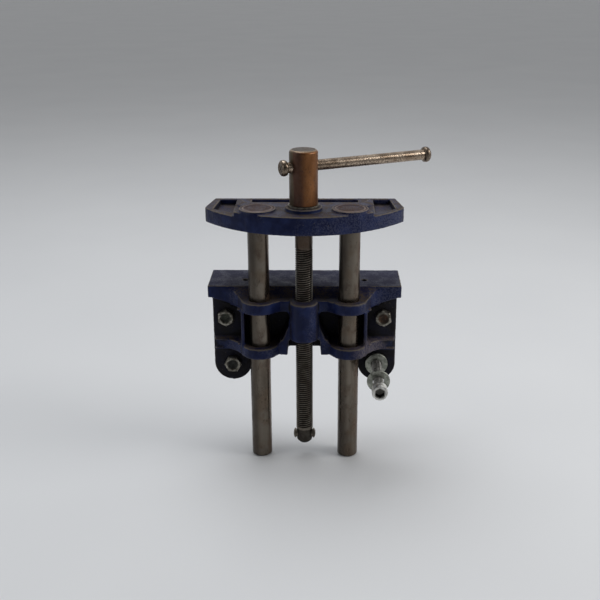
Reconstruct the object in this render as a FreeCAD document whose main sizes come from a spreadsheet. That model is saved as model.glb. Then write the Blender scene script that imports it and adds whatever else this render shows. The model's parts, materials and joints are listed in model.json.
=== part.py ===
import FreeCAD, Part

import math
import os

import Sketcher

# A woodworker's bench vise of the 7 inch, plain screw kind, stood on the ends of its guide rods.
# Frame: +Z along the screw towards the handle, +X to the right, +Y towards the bench side,
# origin on the screw's axis at the level of the rods' lower ends. All sizes are millimetres.

DIMENSIONS = {
    # guide rods and screw
    "rod_radius": 9.525,
    "rod_offset": 41.275,
    "rod_end_chamfer": 1.0,
    "rod_chamfer_radius": 8.525,
    "rod_flare_start": 241.0,
    "rod_top": 243.4,
    "rod_flare_radius": 11.6,
    "running_gap": 0.08,
    "screw_radius": 7.9375,
    "screw_tip": 12.5,
    "screw_tip_radius": 4.5,
    "screw_tip_shoulder": 15.5,
    "screw_end_radius": 7.4,
    "screw_end_top": 27.0,
    "screw_top": 272.0,
    "groove_bottom": 226.3,
    "groove_top": 228.4,
    "groove_radius": 6.8,
    # end stop pin across the screw's lower end
    "stop_height": 21.2,
    "stop_radius": 3.9,
    "stop_half": 8.3,
    "stop_dome_half": 10.6,
    "stop_dome_radius": 4.8,
    "stop_dome_rim": 2.6,
    "stop_dome_edge": 9.4,
    # front jaw
    "front_face": 225.5,
    "jaw_step": 0.6,
    "front_plate": 13.5,
    "front_block": 17.5,
    "front_far": 60.0,
    "front_far_half": 85.5,
    "front_side_half": 91.0,
    "front_side_far": 29.0,
    "front_side_near": 25.0,
    "front_arc_half": 88.3,
    "front_arc_end": 20.4,
    "front_arc_radius": 108.2,
    "block_half": 62.0,
    "block_arc_end": -5.8,
    "block_far": 30.0,
    "pad_near": 12.0,
    "pad_near_half": 80.0,
    "pad_corner_x": 88.0,
    "pad_corner_y": 21.6,
    "recess_half": 50.0,
    "recess_near": 33.0,
    "recess_far": 55.0,
    "recess_depth": 5.5,
    "pocket_inner": 64.0,
    "pocket_outer": 83.0,
    "pocket_outer_far": 80.0,
    "pocket_near_inner": 6.0,
    "pocket_near_outer": 21.0,
    "rod_boss_radius": 16.0,
    "rod_boss_top": 19.0,
    "screw_boss_radius": 16.5,
    "screw_boss_top": 21.3,
    "counterbore_radius": 12.5,
    "counterbore_depth": 6.0,
    # wooden cheek fixing holes, the same in both jaws
    "cheek_x": 56.0,
    "cheek_y": 30.4,
    "cheek_hole_radius": 2.75,
    # rear jaw
    "rear_underside": 155.6,
    "rear_thickness": 11.7,
    "rear_near": 12.0,
    "rear_far": 60.0,
    "rear_half": 90.2,
    # mounting plate and its two lobes
    "plate_front": 14.0,
    "plate_back": 22.0,
    "plate_thickness": 8.0,
    "plate_half": 86.2,
    "plate_top": 157.0,
    "plate_bottom": 106.0,
    "lobe_centre": 68.4,
    "lobe_height": 89.0,
    "lobe_radius": 17.8,
    "lobe_bottom": 71.2,
    "lobe_inner": 50.6,
    "lobe_blend_radius": 6.0,
    "lobe_blend_inner": 44.6,
    "lobe_blend_height": 100.0,
    "upper_hole_x": 73.8,
    "upper_hole_z": 136.3,
    "bolt_hole_radius": 5.15,
    # guide flanges
    "flange_thickness": 10.5,
    "upper_flange_bottom": 148.5,
    "upper_flange_top": 159.0,
    "upper_flare_half": 70.0,
    "lower_flange_bottom": 105.0,
    "lower_flange_thickness": 10.0,
    "lower_flange_top": 115.0,
    "lower_flare_half": 84.0,
    "flange_back": 18.0,
    "flare_front": 13.2,
    "guide_boss_radius": 17.0,
    "boss_outer_x": 57.2,
    "boss_outer_y": -6.1,
    "boss_inner_x": 27.6,
    "boss_inner_y": -10.2,
    "upper_flare_radius": 30.0,
    "lower_flare_radius": 34.0,
    "saddle_x": 21.5,
    "saddle_y": -5.5,
    "lower_end_x": 15.5,
    "lower_end_y": -2.0,
    "lower_neck_x": 22.0,
    # nut boss and webs
    "nut_half": 12.7,
    "nut_nose_centre": -7.5,
    "nut_nose": -20.2,
    "nut_bottom": 122.8,
    "nut_height": 36.2,
    "web_outer": 58.2,
    "web_inner": 55.2,
    "web_front": -7.0,
    "web_height": 44.0,
    "strut_top_outer": 8.0,
    "strut_top_inner": 12.9,
    "strut_middle_height": 134.0,
    "strut_middle_inner": 14.2,
    "strut_low_inner": 22.2,
    "strut_low_outer": 15.5,
    "strut_bend_height": 119.5,
    "strut_bend_outer": 14.6,
    "strut_front": 5.0,
    "strut_depth": 21.0,
    "gusset_front": 1.0,
    "gusset_top": 166.4,
    "gusset_half": 55.0,
    # screw head and washers under it
    "head_radius": 12.7,
    "head_bottom": 248.6,
    "head_top": 297.4,
    "head_chamfer_radius": 11.1,
    "head_chamfer_start": 295.8,
    "washer_radius": 14.0,
    "washer_bore": 8.05,
    "washer_bottom": 246.85,
    "ring_radius": 11.5,
    "ring_bore": 6.85,
    "ring_bottom": 226.35,
    "ring_thickness": 2.0,
    "ring_gap": 5.0,
    # handle
    "handle_height": 282.5,
    "handle_azimuth": 25.0,
    "bar_radius": 4.7625,
    "bar_start": -18.5,
    "bar_end": 122.5,
    "cap_inner_start": -22.0,
    "cap_inner_end": -15.8,
    "cap_outer_start": 119.8,
    "cap_outer_end": 126.0,
    "cap_radius": 7.1,
    "cap_edge_radius": 5.3,
    "cap_inner_edge_start": -20.2,
    "cap_inner_edge_end": -17.6,
    "cap_outer_edge_start": 121.6,
    "cap_outer_edge_end": 124.2,
    # 3/8 inch fasteners
    "bolt_radius": 4.7625,
    "hex_corner_radius": 8.248,
    "bolt_head": 6.1,
    "bolt_recess_radius": 5.0,
    "bolt_recess": 1.4,
    "bolt_length": 31.75,
    "nut_thickness": 8.3,
    "cap_screw_head_radius": 7.14,
    "cap_screw_head": 9.525,
    "cap_screw_length": 76.2,
    "cap_screw_socket_corner": 4.58,
    "cap_screw_socket": 5.0,
    "cap_screw_underside": -43.3,
    "plain_washer_radius": 10.6,
    "plain_washer_bore": 5.2,
    "plain_washer": 1.7,
    "loose_washer_y": -26.0,
    "no_length": 0.0,
}

doc = FreeCAD.newDocument("BenchVise")


def make_sheet():
    sheet = doc.addObject("Spreadsheet::Sheet", "Dims")
    for row, (alias, number) in enumerate(DIMENSIONS.items(), start=1):
        sheet.set(f"A{row}", alias)
        sheet.set(f"B{row}", str(number))
        sheet.setAlias(f"B{row}", alias)
    doc.recompute()
    return sheet


def number(name):
    """The value of an alias, or of its opposite when the name has a minus sign."""
    if name.startswith("-"):
        return -DIMENSIONS[name[1:]]
    return DIMENSIONS[name]


def cell(name):
    """The same alias as an expression on the sheet."""
    if name.startswith("-"):
        return "-Dims." + name[1:]
    return "Dims." + name


def vector(x, y, z):
    return FreeCAD.Vector(x, y, z)


# ---------------------------------------------------------------- sketches and features

def new_body(label):
    body = doc.addObject("PartDesign::Body", label)
    body.Label = label
    return body


def new_sketch(body, name, plane, offset="no_length"):
    """A sketch on one of the body's origin planes, lifted along the plane's normal."""
    sketch = body.newObject("Sketcher::SketchObject", name)
    support = [item for item in body.Origin.OriginFeatures if item.Role == plane][0]
    sketch.AttachmentSupport = [(support, "")]
    sketch.MapMode = "FlatFace"
    sketch.setExpression("AttachmentOffset.Base.z", cell(offset))
    return sketch


def bind_point(sketch, edge, end, x_name, y_name):
    """Holds one end of an edge at a place given by two cells."""
    for kind, name in (("DistanceX", x_name), ("DistanceY", y_name)):
        index = sketch.addConstraint(Sketcher.Constraint(kind, -1, 1, edge, end, number(name)))
        sketch.setExpression(f"Constraints[{index}]", cell(name))


def arc_centre(start, finish, radius, side):
    """Centre of the arc from start to finish, to the left of the chord for side 1, right for -1."""
    middle = (start + finish) * 0.5
    chord = finish - start
    height = math.sqrt(max(radius ** 2 - (chord.Length / 2) ** 2, 0.0))
    left = vector(-chord.y, chord.x, 0).normalize()
    return middle + left * (height * side)


def add_outline(sketch, corners):
    """A closed outline. Each corner is (x, y) or (x, y, radius, side) when an arc leaves it."""
    points = [vector(number(corner[0]), number(corner[1]), 0) for corner in corners]
    first = sketch.GeometryCount
    arc_ends = {}
    for index, corner in enumerate(corners):
        start = points[index]
        finish = points[(index + 1) % len(points)]
        if len(corner) == 2:
            edge = sketch.addGeometry(Part.LineSegment(start, finish), False)
            arc_ends[edge] = (1, 2)
            continue
        radius, side = number(corner[2]), corner[3]
        centre = arc_centre(start, finish, radius, side)
        begin = math.atan2(start.y - centre.y, start.x - centre.x)
        stop = math.atan2(finish.y - centre.y, finish.x - centre.x)
        circle = Part.Circle(centre, vector(0, 0, 1), radius)
        if side > 0:
            edge = sketch.addGeometry(Part.ArcOfCircle(circle, begin, stop), False)
            arc_ends[edge] = (1, 2)
        else:
            edge = sketch.addGeometry(Part.ArcOfCircle(circle, stop, begin), False)
            arc_ends[edge] = (2, 1)
        limit = sketch.addConstraint(Sketcher.Constraint("Radius", edge, radius))
        sketch.setExpression(f"Constraints[{limit}]", cell(corner[2]))
    count = len(corners)
    for index, corner in enumerate(corners):
        edge = first + index
        following = first + (index + 1) % count
        sketch.addConstraint(
            Sketcher.Constraint("Coincident", edge, arc_ends[edge][1], following, arc_ends[following][0])
        )
        bind_point(sketch, edge, arc_ends[edge][0], corner[0], corner[1])


def mirrored(corners):
    """The same corners on the other side of the sketch's vertical axis, in reverse order."""
    result = []
    count = len(corners)
    for index in range(count - 1, -1, -1):
        x_name, y_name = corners[index][:2]
        opposite = x_name[1:] if x_name.startswith("-") else "-" + x_name
        edge = corners[(index - 1) % count]
        result.append((opposite, y_name) + tuple(edge[2:]))
    return result


def add_hole(sketch, x_name, y_name, radius_name):
    circle = Part.Circle(vector(number(x_name), number(y_name), 0), vector(0, 0, 1), number(radius_name))
    edge = sketch.addGeometry(circle, False)
    bind_point(sketch, edge, 3, x_name, y_name)
    index = sketch.addConstraint(Sketcher.Constraint("Radius", edge, number(radius_name)))
    sketch.setExpression(f"Constraints[{index}]", cell(radius_name))


def add_running_hole(sketch, x_name, y_name, radius_name):
    """A hole that its shaft runs in, wider than the shaft by the running gap all round."""
    radius = number(radius_name) + number("running_gap")
    circle = Part.Circle(vector(number(x_name), number(y_name), 0), vector(0, 0, 1), radius)
    edge = sketch.addGeometry(circle, False)
    bind_point(sketch, edge, 3, x_name, y_name)
    index = sketch.addConstraint(Sketcher.Constraint("Radius", edge, radius))
    sketch.setExpression(f"Constraints[{index}]", cell(radius_name) + " + Dims.running_gap")


def pad(body, sketch, length, backwards=False):
    feature = body.newObject("PartDesign::Pad", sketch.Name + "Pad")
    feature.Profile = sketch
    feature.Reversed = backwards
    feature.setExpression("Length", cell(length))
    doc.recompute()
    body.Tip = feature
    return feature


def pocket(body, sketch, length):
    """A pocket sunk from the sketch's plane, against the plane's normal."""
    feature = body.newObject("PartDesign::Pocket", sketch.Name + "Pocket")
    feature.Profile = sketch
    feature.setExpression("Length", cell(length))
    doc.recompute()
    body.Tip = feature
    return feature


def cut_through(body, sketch):
    """A cut right through the body, both ways from the sketch's plane."""
    feature = body.newObject("PartDesign::Pocket", sketch.Name + "Through")
    feature.Profile = sketch
    feature.Type = "ThroughAll"
    feature.Midplane = True
    doc.recompute()
    body.Tip = feature
    return feature


def turned(label, corners):
    """A turned piece: a half profile of (radius, height) corners revolved about its Z axis."""
    body = new_body(label)
    sketch = new_sketch(body, label + "_profile", "XZ_Plane")
    add_outline(sketch, corners)
    feature = body.newObject("PartDesign::Revolution", label + "_turning")
    feature.Profile = sketch
    feature.ReferenceAxis = (sketch, ["V_Axis"])
    feature.Angle = 360.0
    doc.recompute()
    body.Tip = feature
    return body


def drilled(label, base, tools):
    """The base with every tool cut out of it."""
    cut = None
    for index, tool in enumerate(tools):
        cut = doc.addObject("Part::Cut", f"{label}_cut_{index}")
        cut.Base = base
        cut.Tool = tool
        base = cut
    cut.Label = label
    doc.recompute()
    return cut


# ---------------------------------------------------------------- sliding jaw

def guide_rod(label, side):
    """A round bar whose upper end is riveted over into the front jaw."""
    rod = turned(label, [
        ("no_length", "no_length"),
        ("rod_chamfer_radius", "no_length"),
        ("rod_radius", "rod_end_chamfer"),
        ("rod_radius", "rod_flare_start"),
        ("rod_flare_radius", "rod_top"),
        ("no_length", "rod_top"),
    ])
    rod.setExpression("Placement.Base.x", ("-" if side < 0 else "") + "Dims.rod_offset")
    return rod


def front_jaw_outline():
    return [
        ("-front_far_half", "front_far"),
        ("-front_side_half", "front_side_far"),
        ("-front_side_half", "front_side_near"),
        ("-front_arc_half", "front_arc_end", "front_arc_radius", 1),
        ("front_arc_half", "front_arc_end"),
        ("front_side_half", "front_side_near"),
        ("front_side_half", "front_side_far"),
        ("front_far_half", "front_far"),
    ]


def front_jaw(rods):
    """The D-shaped sliding jaw: a plate with a raised block round the rods and the screw."""
    body = new_body("front_jaw_blank")
    body.setExpression("Placement.Base.z", "Dims.front_face")

    plate = new_sketch(body, "front_plate_outline", "XY_Plane", "jaw_step")
    add_outline(plate, front_jaw_outline())
    feature = pad(body, plate, "front_plate")
    feature.setExpression("Length", "Dims.front_plate - Dims.jaw_step")

    # The clamping face stands a little proud of the D-shaped apron around the rods.
    face = new_sketch(body, "clamping_face", "XY_Plane")
    add_outline(face, [
        ("-pad_near_half", "pad_near"), ("pad_near_half", "pad_near"),
        ("pad_corner_x", "pad_corner_y"), ("front_side_half", "front_side_near"),
        ("front_side_half", "front_side_far"), ("front_far_half", "front_far"),
        ("-front_far_half", "front_far"), ("-front_side_half", "front_side_far"),
        ("-front_side_half", "front_side_near"), ("-pad_corner_x", "pad_corner_y"),
    ])
    pad(body, face, "recess_depth")

    block = new_sketch(body, "middle_block", "XY_Plane", "jaw_step")
    add_outline(block, [
        ("-block_half", "block_arc_end", "front_arc_radius", 1),
        ("block_half", "block_arc_end"),
        ("recess_half", "block_far"),
        ("-recess_half", "block_far"),
    ])
    feature = pad(body, block, "front_block")
    feature.setExpression("Length", "Dims.front_block - Dims.jaw_step")

    hollow = new_sketch(body, "outer_hollows", "XY_Plane", "front_plate")
    add_outline(hollow, [
        ("-recess_half", "recess_near"), ("recess_half", "recess_near"),
        ("recess_half", "recess_far"), ("-recess_half", "recess_far"),
    ])
    end_hollow = [
        ("pocket_inner", "pocket_near_inner"), ("pocket_outer", "pocket_near_outer"),
        ("pocket_outer_far", "recess_far"), ("pocket_inner", "recess_far"),
    ]
    add_outline(hollow, end_hollow)
    add_outline(hollow, mirrored(end_hollow))
    pocket(body, hollow, "recess_depth")

    bosses = new_sketch(body, "rod_bosses", "XY_Plane", "jaw_step")
    for side in ("rod_offset", "-rod_offset"):
        add_hole(bosses, side, "no_length", "rod_boss_radius")
    feature = pad(body, bosses, "rod_boss_top")
    feature.setExpression("Length", "Dims.rod_boss_top - Dims.jaw_step")
    screw_boss = new_sketch(body, "screw_boss", "XY_Plane", "jaw_step")
    add_hole(screw_boss, "no_length", "no_length", "screw_boss_radius")
    feature = pad(body, screw_boss, "screw_boss_top")
    feature.setExpression("Length", "Dims.screw_boss_top - Dims.jaw_step")

    bores = new_sketch(body, "screw_and_cheek_holes", "XY_Plane")
    add_running_hole(bores, "no_length", "no_length", "screw_radius")
    for side in ("cheek_x", "-cheek_x"):
        add_hole(bores, side, "cheek_y", "cheek_hole_radius")
    cut_through(body, bores)
    counterbore = new_sketch(body, "ring_counterbore", "XY_Plane", "counterbore_depth")
    add_hole(counterbore, "no_length", "no_length", "counterbore_radius")
    pocket(body, counterbore, "counterbore_depth")
    return drilled("front_jaw_casting", body, rods)


# ---------------------------------------------------------------- fixed jaw

def flange_half(flare, radius):
    """One side's flange in plan, from the bench side round the rod boss to the flare."""
    return [
        ("lower_end_x", "flange_back"),
        ("lower_end_x", "lower_end_y"),
        ("lower_neck_x", "lower_end_y"),
        ("boss_inner_x", "boss_inner_y", "guide_boss_radius", 1),
        ("boss_outer_x", "boss_outer_y", radius, -1),
        (flare, "flare_front"),
        (flare, "flange_back"),
    ]


def rear_jaw():
    """The fixed jaw: clamping face, mounting plate, guide flanges, webs and nut in one casting."""
    body = new_body("rear_jaw_blank")

    face = new_sketch(body, "rear_face_outline", "XY_Plane", "rear_underside")
    add_outline(face, [
        ("-rear_half", "rear_near"), ("rear_half", "rear_near"),
        ("rear_half", "rear_far"), ("-rear_half", "rear_far"),
    ])
    pad(body, face, "rear_thickness")

    plate = new_sketch(body, "mounting_plate", "XZ_Plane", "-plate_front")
    right = [
        ("lobe_blend_inner", "plate_bottom", "lobe_blend_radius", -1),
        ("lobe_inner", "lobe_blend_height"),
        ("lobe_inner", "lobe_height", "lobe_radius", 1),
        ("lobe_centre", "lobe_bottom", "lobe_radius", 1),
        ("plate_half", "lobe_height"),
        ("plate_half", "plate_top"),
    ]
    add_outline(plate, right + mirrored(right))
    pad(body, plate, "plate_thickness", backwards=True)

    upper = new_sketch(body, "upper_flange", "XY_Plane", "upper_flange_bottom")
    right = flange_half("upper_flare_half", "upper_flare_radius")
    saddle = [("saddle_x", "saddle_y")] + right[3:] + mirrored(right[3:]) + [("-saddle_x", "saddle_y")]
    add_outline(upper, saddle)
    pad(body, upper, "flange_thickness")

    lower = new_sketch(body, "lower_flanges", "XY_Plane", "lower_flange_bottom")
    right = flange_half("lower_flare_half", "lower_flare_radius")
    add_outline(lower, right)
    add_outline(lower, mirrored(right))
    pad(body, lower, "lower_flange_thickness")

    webs = new_sketch(body, "outer_webs", "XY_Plane", "lower_flange_bottom")
    right = [
        ("web_inner", "web_front"), ("web_outer", "web_front"),
        ("web_outer", "flange_back"), ("web_inner", "flange_back"),
    ]
    add_outline(webs, right)
    add_outline(webs, mirrored(right))
    pad(body, webs, "web_height")

    struts = new_sketch(body, "inner_struts", "XZ_Plane", "strut_front")
    right = [
        ("strut_top_outer", "upper_flange_bottom"), ("strut_top_outer", "nut_bottom"),
        ("strut_bend_outer", "strut_bend_height"), ("strut_low_outer", "lower_flange_bottom"),
        ("strut_low_inner", "lower_flange_bottom"), ("strut_low_inner", "lower_flange_top"),
        ("strut_middle_inner", "strut_middle_height"), ("strut_top_inner", "upper_flange_bottom"),
    ]
    add_outline(struts, right)
    add_outline(struts, mirrored(right))
    pad(body, struts, "strut_depth", backwards=True)

    nut = new_sketch(body, "nut_boss", "XY_Plane", "nut_bottom")
    add_outline(nut, [
        ("-nut_half", "nut_nose_centre", "nut_half", 1), ("no_length", "nut_nose", "nut_half", 1),
        ("nut_half", "nut_nose_centre"),
        ("nut_half", "flange_back"), ("-nut_half", "flange_back"),
    ])
    pad(body, nut, "nut_height")

    gusset = new_sketch(body, "face_gusset", "YZ_Plane", "-gusset_half")
    add_outline(gusset, [
        ("gusset_front", "upper_flange_top"), ("rear_near", "upper_flange_top"), ("rear_near", "gusset_top"),
    ])
    feature = pad(body, gusset, "gusset_half")
    feature.setExpression("Length", "2 * Dims.gusset_half")

    bores = new_sketch(body, "rod_and_screw_bores", "XY_Plane")
    for side in ("rod_offset", "-rod_offset"):
        add_running_hole(bores, side, "no_length", "rod_radius")
    add_running_hole(bores, "no_length", "no_length", "screw_radius")
    for side in ("cheek_x", "-cheek_x"):
        add_hole(bores, side, "cheek_y", "cheek_hole_radius")
    cut_through(body, bores)

    bolts = new_sketch(body, "bolt_holes", "XZ_Plane")
    for side in ("", "-"):
        add_hole(bolts, side + "upper_hole_x", "upper_hole_z", "bolt_hole_radius")
        add_hole(bolts, side + "lobe_centre", "lobe_height", "bolt_hole_radius")
    cut_through(body, bolts)
    body.Label = "rear_jaw_casting"
    return body


# ---------------------------------------------------------------- screw

def lead_screw():
    """The screw with its retaining groove. The thread's ridges are left off this solid."""
    screw = turned("lead_screw_blank", [
        ("no_length", "screw_tip"),
        ("screw_tip_radius", "screw_tip"),
        ("screw_end_radius", "screw_tip_shoulder"),
        ("screw_end_radius", "screw_end_top"),
        ("screw_radius", "screw_end_top"),
        ("screw_radius", "groove_bottom"),
        ("groove_radius", "groove_bottom"),
        ("groove_radius", "groove_top"),
        ("screw_radius", "groove_top"),
        ("screw_radius", "screw_top"),
        ("no_length", "screw_top"),
    ])
    cross = new_sketch(screw, "stop_pin_hole", "YZ_Plane")
    add_hole(cross, "no_length", "stop_height", "stop_radius")
    cut_through(screw, cross)
    screw.Label = "lead_screw"
    return screw


def stop_pin():
    """A cross pin, riveted to a low dome at both ends, that stops the screw leaving the nut."""
    pin = turned("end_stop_pin", [
        ("no_length", "-stop_dome_half"),
        ("stop_dome_rim", "-stop_dome_half"),
        ("stop_dome_radius", "-stop_dome_edge"),
        ("stop_dome_radius", "-stop_half"),
        ("stop_radius", "-stop_half"),
        ("stop_radius", "stop_half"),
        ("stop_dome_radius", "stop_half"),
        ("stop_dome_radius", "stop_dome_edge"),
        ("stop_dome_rim", "stop_dome_half"),
        ("no_length", "stop_dome_half"),
    ])
    pin.Placement = FreeCAD.Placement(vector(0, 0, 0), FreeCAD.Rotation(vector(0, 1, 0), 90))
    pin.setExpression("Placement.Base.z", "Dims.stop_height")
    return pin


def handle_direction():
    azimuth = math.radians(number("handle_azimuth"))
    return vector(math.cos(azimuth), math.sin(azimuth), 0)


def along_handle(piece):
    """Lays a turned piece's Z axis along the handle, through the head's cross hole."""
    rotation = FreeCAD.Rotation(vector(0, 0, 1), handle_direction())
    piece.Placement = FreeCAD.Placement(vector(0, 0, 0), rotation)
    piece.setExpression("Placement.Base.z", "Dims.handle_height")


def screw_head(screw):
    """The round head on top of the screw, cross drilled for the handle."""
    blank = turned("screw_head_blank", [
        ("no_length", "head_bottom"),
        ("head_radius", "head_bottom"),
        ("head_radius", "head_chamfer_start"),
        ("head_chamfer_radius", "head_top"),
        ("no_length", "head_top"),
    ])
    cross = doc.addObject("Part::Cylinder", "handle_hole")
    cross.setExpression("Radius", "Dims.bar_radius + Dims.running_gap")
    cross.setExpression("Height", "4 * Dims.head_radius")
    rotation = FreeCAD.Rotation(vector(0, 0, 1), handle_direction())
    start = handle_direction() * (-2 * number("head_radius"))
    cross.Placement = FreeCAD.Placement(start, rotation)
    cross.setExpression("Placement.Base.z", "Dims.handle_height")
    return drilled("screw_head", blank, [cross, screw])


def ring(label, outer, inner, bottom, thickness):
    """A flat washer about the screw's axis."""
    disc = doc.addObject("Part::Cylinder", label + "_disc")
    hole = doc.addObject("Part::Cylinder", label + "_hole")
    for piece, radius in ((disc, outer), (hole, inner)):
        piece.setExpression("Radius", cell(radius))
        piece.setExpression("Height", thickness)
        piece.setExpression("Placement.Base.z", cell(bottom))
    return drilled(label, disc, [hole])


def retaining_ring():
    """The open spring ring in the screw's groove, which pulls the jaw back with the screw."""
    flat = ring("retaining_ring_blank", "ring_radius", "ring_bore", "ring_bottom", "Dims.ring_thickness")
    gap = doc.addObject("Part::Box", "ring_opening")
    gap.setExpression("Length", "Dims.ring_gap")
    gap.setExpression("Width", "2 * Dims.ring_radius")
    gap.setExpression("Height", "2 * Dims.ring_thickness")
    gap.setExpression("Placement.Base.x", "-Dims.ring_gap / 2")
    gap.setExpression("Placement.Base.z", "Dims.ring_bottom - Dims.ring_thickness / 2")
    return drilled("retaining_ring", flat, [gap])


# ---------------------------------------------------------------- handle

def handle_cap(label, start, finish, edge_start, edge_finish):
    """A round end cap with softened edges, bored for the bar's end."""
    cap = turned(label + "_blank", [
        ("no_length", start),
        ("cap_edge_radius", start),
        ("cap_radius", edge_start),
        ("cap_radius", edge_finish),
        ("cap_edge_radius", finish),
        ("no_length", finish),
    ])
    along_handle(cap)
    return cap


def handle():
    bar = turned("handle_bar", [
        ("no_length", "bar_start"), ("bar_radius", "bar_start"),
        ("bar_radius", "bar_end"), ("no_length", "bar_end"),
    ])
    along_handle(bar)
    inner = handle_cap("handle_cap_inner", "cap_inner_start", "cap_inner_end",
                       "cap_inner_edge_start", "cap_inner_edge_end")
    outer = handle_cap("handle_cap_outer", "cap_outer_start", "cap_outer_end",
                       "cap_outer_edge_start", "cap_outer_edge_end")
    return [
        bar,
        drilled("handle_cap_inner", inner, [bar]),
        drilled("handle_cap_outer", outer, [bar]),
    ]


# ---------------------------------------------------------------- fasteners

def facing_front(piece, x_cell, y_cell, z_cell):
    """Turns a fastener built along +Z so that its head faces -Y, and puts it on its hole."""
    piece.Placement = FreeCAD.Placement(vector(0, 0, 0), FreeCAD.Rotation(vector(1, 0, 0), 90))
    piece.setExpression("Placement.Base.x", x_cell)
    piece.setExpression("Placement.Base.y", y_cell)
    piece.setExpression("Placement.Base.z", z_cell)


def cylinder(name, radius, height, bottom="0"):
    piece = doc.addObject("Part::Cylinder", name)
    piece.setExpression("Radius", radius)
    piece.setExpression("Height", height)
    piece.setExpression("Placement.Base.z", bottom)
    return piece


def hexagon(name, corner_radius, height, bottom="0"):
    piece = doc.addObject("Part::Prism", name)
    piece.Polygon = 6
    piece.setExpression("Circumradius", corner_radius)
    piece.setExpression("Height", height)
    piece.setExpression("Placement.Base.z", bottom)
    return piece


def hex_bolt(label, x_cell, z_cell):
    """A 3/8 inch bolt with the dished top of a pressed head."""
    head = hexagon(label + "_head", "Dims.hex_corner_radius", "Dims.bolt_head")
    shank = cylinder(label + "_shank", "Dims.bolt_radius", "Dims.bolt_length", "-Dims.bolt_length")
    dish = cylinder(label + "_dish", "Dims.bolt_recess_radius", "2 * Dims.bolt_recess",
                    "Dims.bolt_head - Dims.bolt_recess")
    solid = doc.addObject("Part::MultiFuse", label + "_solid")
    solid.Shapes = [head, shank]
    bolt = drilled(label, solid, [dish])
    facing_front(bolt, x_cell, "Dims.plate_front", z_cell)
    return bolt


def hex_nut(label, x_cell, z_cell):
    """The nut behind the mounting plate."""
    blank = hexagon(label + "_blank", "Dims.hex_corner_radius", "Dims.nut_thickness")
    bore = cylinder(label + "_bore", "Dims.bolt_radius", "Dims.nut_thickness")
    nut = drilled(label, blank, [bore])
    facing_front(nut, x_cell, "Dims.plate_back + Dims.nut_thickness", z_cell)
    return nut


def plain_washer(label, y_cell):
    """A flat washer on the long screw's shank."""
    disc = cylinder(label + "_disc", "Dims.plain_washer_radius", "Dims.plain_washer")
    bore = cylinder(label + "_bore", "Dims.plain_washer_bore", "Dims.plain_washer")
    washer = drilled(label, disc, [bore])
    facing_front(washer, "Dims.lobe_centre", y_cell, "Dims.lobe_height")
    return washer


def cap_screw():
    """The long socket head screw in the lower right hole."""
    head = cylinder("cap_head", "Dims.cap_screw_head_radius", "Dims.cap_screw_head")
    shank = cylinder("cap_shank", "Dims.bolt_radius", "Dims.cap_screw_length", "-Dims.cap_screw_length")
    socket = hexagon("cap_socket", "Dims.cap_screw_socket_corner", "2 * Dims.cap_screw_socket",
                     "Dims.cap_screw_head - Dims.cap_screw_socket")
    solid = doc.addObject("Part::MultiFuse", "cap_solid")
    solid.Shapes = [head, shank]
    screw = drilled("long_cap_screw", solid, [socket])
    facing_front(screw, "Dims.lobe_centre", "Dims.cap_screw_underside", "Dims.lobe_height")
    return screw


def fasteners():
    pieces = []
    places = {
        "upper_left": ("-Dims.upper_hole_x", "Dims.upper_hole_z"),
        "upper_right": ("Dims.upper_hole_x", "Dims.upper_hole_z"),
        "lower_left": ("-Dims.lobe_centre", "Dims.lobe_height"),
    }
    for place, (x_cell, z_cell) in places.items():
        pieces.append(hex_bolt("mounting_bolt_" + place, x_cell, z_cell))
        pieces.append(hex_nut("mounting_nut_" + place, x_cell, z_cell))
    pieces.append(cap_screw())
    pieces.append(hex_nut("cap_screw_nut", "Dims.lobe_centre", "Dims.lobe_height"))
    pieces.append(plain_washer("seated_washer_back", "Dims.plate_front"))
    pieces.append(plain_washer("seated_washer_front", "Dims.plate_front - Dims.plain_washer"))
    pieces.append(plain_washer("loose_washer", "Dims.loose_washer_y"))
    return pieces


# ---------------------------------------------------------------- checks and files

def check_document():
    for item in doc.Objects:
        if "Invalid" in item.State or "Error" in item.State:
            raise RuntimeError(f"{item.Label} is {item.State}")


def write_parts(pieces):
    os.makedirs("parts", exist_ok=True)
    for piece in pieces:
        shape = piece.Shape
        if shape.isNull() or not shape.isValid() or len(shape.Solids) != 1:
            raise RuntimeError(f"{piece.Label} has no single valid solid")
        shape.exportStep(f"parts/{piece.Label}.step")
        box = shape.BoundBox
        lengths = f"{box.XLength:7.1f} {box.YLength:7.1f} {box.ZLength:7.1f}"
        print(f"{piece.Label:28s} {lengths} {shape.Volume:10.0f}")


def main():
    make_sheet()
    rods = [guide_rod("guide_rod_left", -1), guide_rod("guide_rod_right", 1)]
    pin = stop_pin()
    screw = lead_screw()
    pieces = rods + [
        front_jaw(rods),
        rear_jaw(),
        screw,
        pin,
        screw_head(screw),
        ring("thrust_washer", "washer_radius", "washer_bore", "washer_bottom",
             "Dims.head_bottom - Dims.washer_bottom"),
        retaining_ring(),
    ]
    pieces += handle()
    pieces += fasteners()
    doc.recompute()
    check_document()
    write_parts(pieces)


main()
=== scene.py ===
import json
import math

import bmesh
import bpy
import numpy as np
from mathutils import Matrix, Vector

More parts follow.
